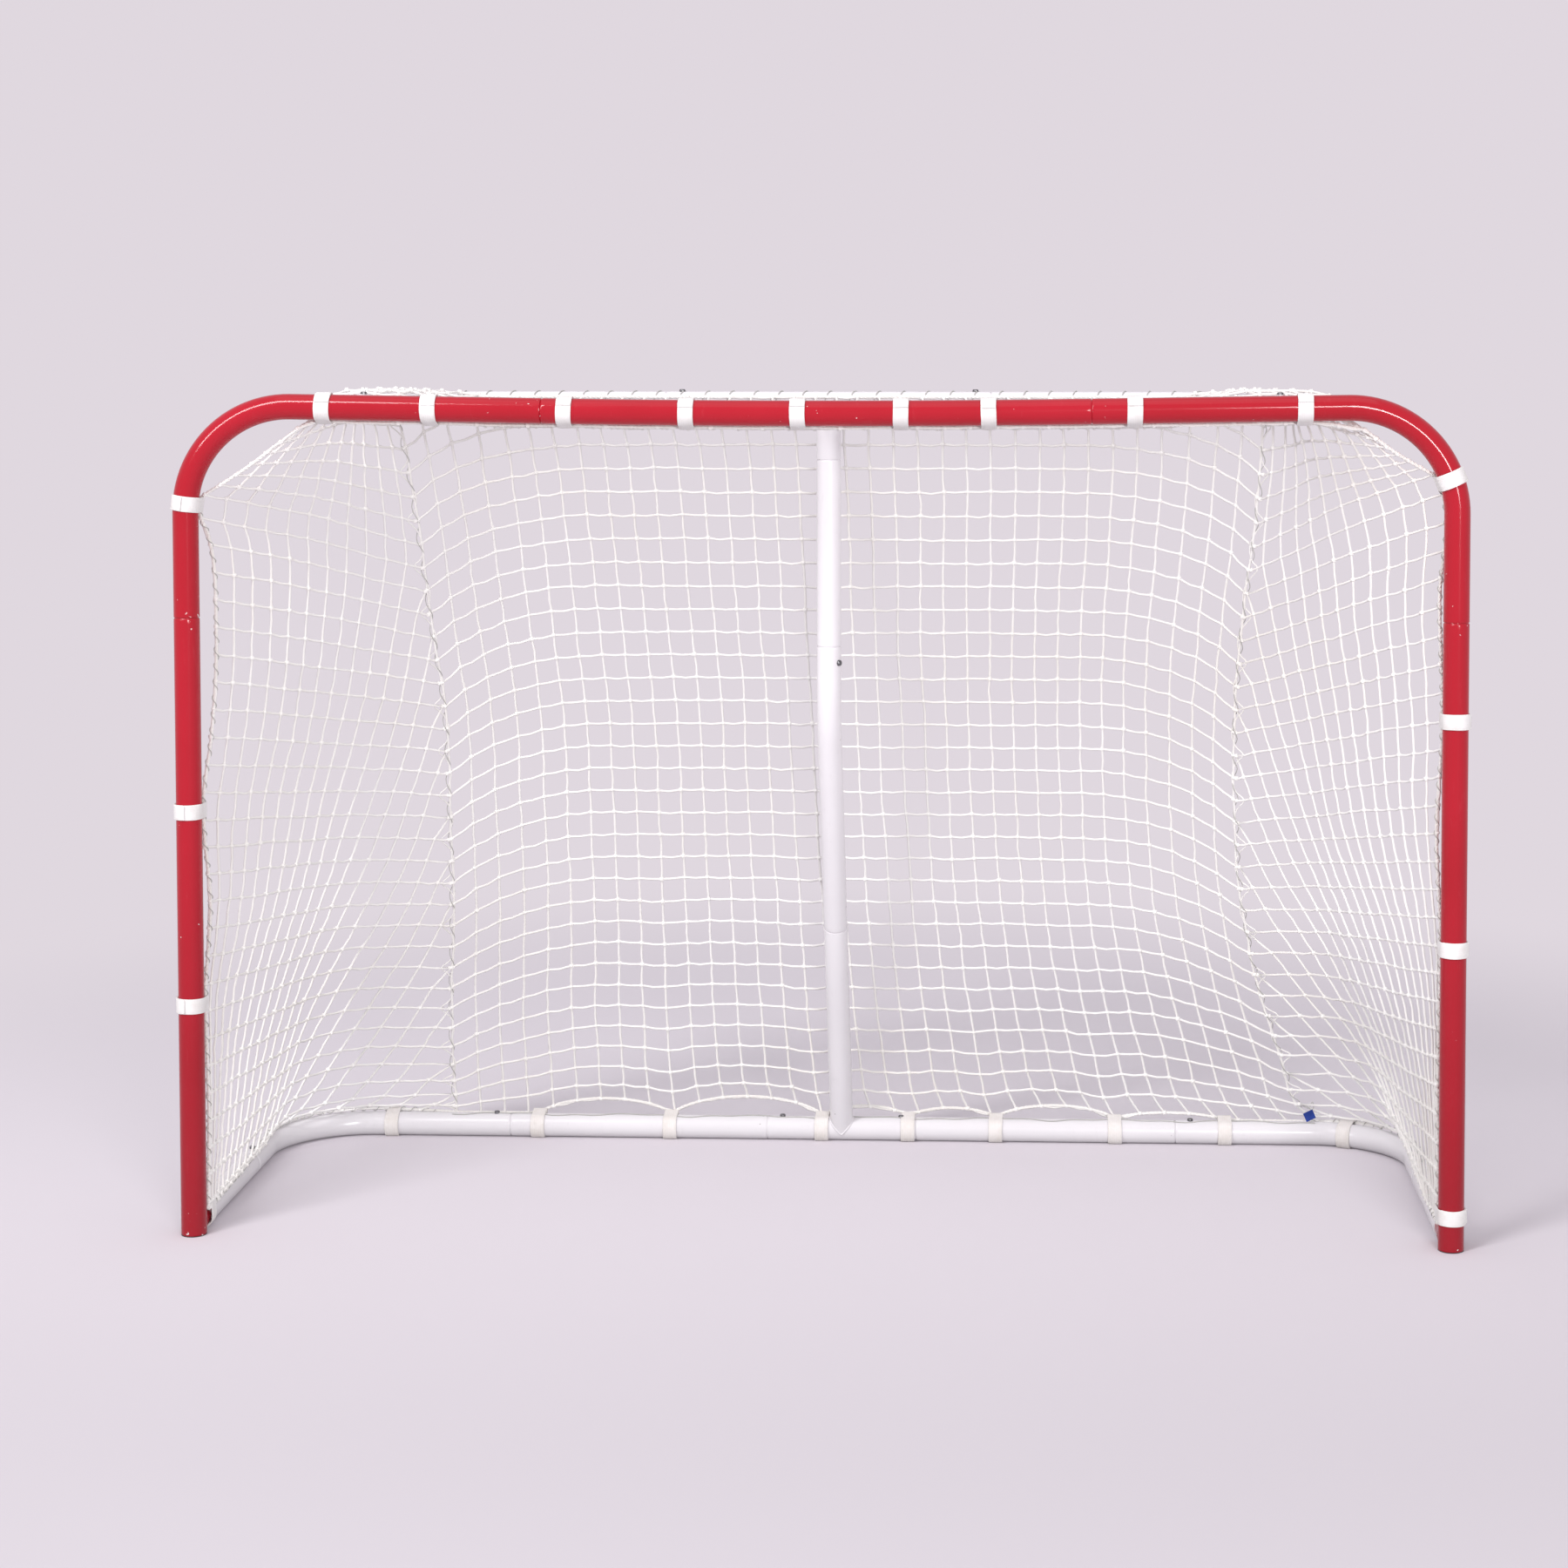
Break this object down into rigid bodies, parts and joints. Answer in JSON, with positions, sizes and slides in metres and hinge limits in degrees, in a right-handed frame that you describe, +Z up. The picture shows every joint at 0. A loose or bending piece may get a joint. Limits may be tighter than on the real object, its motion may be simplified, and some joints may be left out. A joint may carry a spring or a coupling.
{
  "type": "hockey goal",
  "caption": "Street hockey goal: red steel tube mouth with rounded top corners, white base and top frames on snap-button joints, a bent back post and a strapped white net.",
  "frame": {"origin": "on the floor under the middle of the goal, halfway between its front and back faces", "axes": "+X to the right as seen from in front of the mouth, +Y from the mouth to the back, +Z up"},
  "size_m": [1.9096, 0.6143, 1.2644],
  "materials": {
    "red_paint": "gloss",
    "white_paint": "gloss",
    "button_steel": "satin",
    "foot_plastic": "matte",
    "strap_webbing": "matte",
    "net_cord": "matte"
  },
  "bodies": {
    "goal": {"left_post": "red_paint", "right_post": "red_paint", "left_top_corner": "red_paint", "right_top_corner": "red_paint", "crossbar_middle": "red_paint", "left_leg": "white_paint", "right_leg": "white_paint", "left_base_corner": "white_paint", "right_base_corner": "white_paint", "left_base_tube": "white_paint", "right_base_tube": "white_paint", "base_tee": "white_paint", "back_post_lower": "white_paint", "back_post_upper": "white_paint", "top_tee": "white_paint", "left_top_frame_corner": "white_paint", "right_top_frame_corner": "white_paint", "left_foot_plug": "foot_plastic", "right_foot_plug": "foot_plastic", "crossbar_strap_1": "strap_webbing", "crossbar_strap_2": "strap_webbing", "crossbar_strap_3": "strap_webbing", "crossbar_strap_4": "strap_webbing", "crossbar_strap_5": "strap_webbing", "crossbar_strap_6": "strap_webbing", "crossbar_strap_7": "strap_webbing", "crossbar_strap_8": "strap_webbing", "crossbar_strap_9": "strap_webbing", "left_post_strap_1": "strap_webbing", "left_post_strap_2": "strap_webbing", "left_post_strap_3": "strap_webbing", "left_foot_strap": "strap_webbing", "right_post_strap_1": "strap_webbing", "right_post_strap_2": "strap_webbing", "right_post_strap_3": "strap_webbing", "right_post_strap_4": "strap_webbing", "roof_net": "net_cord", "back_net": "net_cord", "left_net": "net_cord", "right_net": "net_cord"},
    "left_post_button": {"left_post_button": "button_steel"},
    "right_post_button": {"right_post_button": "button_steel"},
    "left_crossbar_button": {"left_crossbar_button": "button_steel"},
    "right_crossbar_button": {"right_crossbar_button": "button_steel"},
    "left_foot_button": {"left_foot_button": "button_steel"},
    "right_foot_button": {"right_foot_button": "button_steel"},
    "left_leg_button": {"left_leg_button": "button_steel"},
    "right_leg_button": {"right_leg_button": "button_steel"},
    "left_base_corner_button": {"left_base_corner_button": "button_steel"},
    "right_base_corner_button": {"right_base_corner_button": "button_steel"},
    "left_base_tee_button": {"left_base_tee_button": "button_steel"},
    "right_base_tee_button": {"right_base_tee_button": "button_steel"},
    "left_arm_button": {"left_arm_button": "button_steel"},
    "right_arm_button": {"right_arm_button": "button_steel"},
    "left_top_tee_button": {"left_top_tee_button": "button_steel"},
    "right_top_tee_button": {"right_top_tee_button": "button_steel"},
    "stem_button": {"stem_button": "button_steel"},
    "back_post_button": {"back_post_button": "button_steel"},
    "top_stem_button": {"top_stem_button": "button_steel"}
  },
  "joints": [
    {"name": "left_post_press", "type": "slide", "parent": "goal", "child": "left_post_button", "axis": [0, -1, 0], "range_m": [0, 0.005], "stiffness_N_per_m": 2000, "springref_m": -0.002},
    {"name": "right_post_press", "type": "slide", "parent": "goal", "child": "right_post_button", "axis": [0, -1, 0], "range_m": [0, 0.005], "stiffness_N_per_m": 2000, "springref_m": -0.002},
    {"name": "left_crossbar_press", "type": "slide", "parent": "goal", "child": "left_crossbar_button", "axis": [0, -1, 0], "range_m": [0, 0.005], "stiffness_N_per_m": 2000, "springref_m": -0.002},
    {"name": "right_crossbar_press", "type": "slide", "parent": "goal", "child": "right_crossbar_button", "axis": [0, -1, 0], "range_m": [0, 0.005], "stiffness_N_per_m": 2000, "springref_m": -0.002},
    {"name": "left_foot_press", "type": "slide", "parent": "goal", "child": "left_foot_button", "axis": [0, 0, -1], "range_m": [0, 0.005], "stiffness_N_per_m": 2000, "springref_m": -0.002},
    {"name": "right_foot_press", "type": "slide", "parent": "goal", "child": "right_foot_button", "axis": [0, 0, -1], "range_m": [0, 0.005], "stiffness_N_per_m": 2000, "springref_m": -0.002},
    {"name": "left_leg_press", "type": "slide", "parent": "goal", "child": "left_leg_button", "axis": [0, 0, -1], "range_m": [0, 0.005], "stiffness_N_per_m": 2000, "springref_m": -0.002},
    {"name": "right_leg_press", "type": "slide", "parent": "goal", "child": "right_leg_button", "axis": [0, 0, -1], "range_m": [0, 0.005], "stiffness_N_per_m": 2000, "springref_m": -0.002},
    {"name": "left_base_corner_press", "type": "slide", "parent": "goal", "child": "left_base_corner_button", "axis": [0, 0, -1], "range_m": [0, 0.005], "stiffness_N_per_m": 2000, "springref_m": -0.002},
    {"name": "right_base_corner_press", "type": "slide", "parent": "goal", "child": "right_base_corner_button", "axis": [0, 0, -1], "range_m": [0, 0.005], "stiffness_N_per_m": 2000, "springref_m": -0.002},
    {"name": "left_base_tee_press", "type": "slide", "parent": "goal", "child": "left_base_tee_button", "axis": [0, 0, -1], "range_m": [0, 0.005], "stiffness_N_per_m": 2000, "springref_m": -0.002},
    {"name": "right_base_tee_press", "type": "slide", "parent": "goal", "child": "right_base_tee_button", "axis": [0, 0, -1], "range_m": [0, 0.005], "stiffness_N_per_m": 2000, "springref_m": -0.002},
    {"name": "left_arm_press", "type": "slide", "parent": "goal", "child": "left_arm_button", "axis": [0, 0, -1], "range_m": [0, 0.005], "stiffness_N_per_m": 2000, "springref_m": -0.002},
    {"name": "right_arm_press", "type": "slide", "parent": "goal", "child": "right_arm_button", "axis": [0, 0, -1], "range_m": [0, 0.005], "stiffness_N_per_m": 2000, "springref_m": -0.002},
    {"name": "left_top_tee_press", "type": "slide", "parent": "goal", "child": "left_top_tee_button", "axis": [0, 0, -1], "range_m": [0, 0.005], "stiffness_N_per_m": 2000, "springref_m": -0.002},
    {"name": "right_top_tee_press", "type": "slide", "parent": "goal", "child": "right_top_tee_button", "axis": [0, 0, -1], "range_m": [0, 0.005], "stiffness_N_per_m": 2000, "springref_m": -0.002},
    {"name": "stem_press", "type": "slide", "parent": "goal", "child": "stem_button", "axis": [0, -0.9272, -0.3745], "range_m": [0, 0.005], "stiffness_N_per_m": 2000, "springref_m": -0.002},
    {"name": "back_post_press", "type": "slide", "parent": "goal", "child": "back_post_button", "axis": [-0.848, 0.5299, 0], "range_m": [0, 0.005], "stiffness_N_per_m": 2000, "springref_m": -0.002},
    {"name": "top_stem_press", "type": "slide", "parent": "goal", "child": "top_stem_button", "axis": [0, -1, 0], "range_m": [0, 0.005], "stiffness_N_per_m": 2000, "springref_m": -0.002}
  ]
}
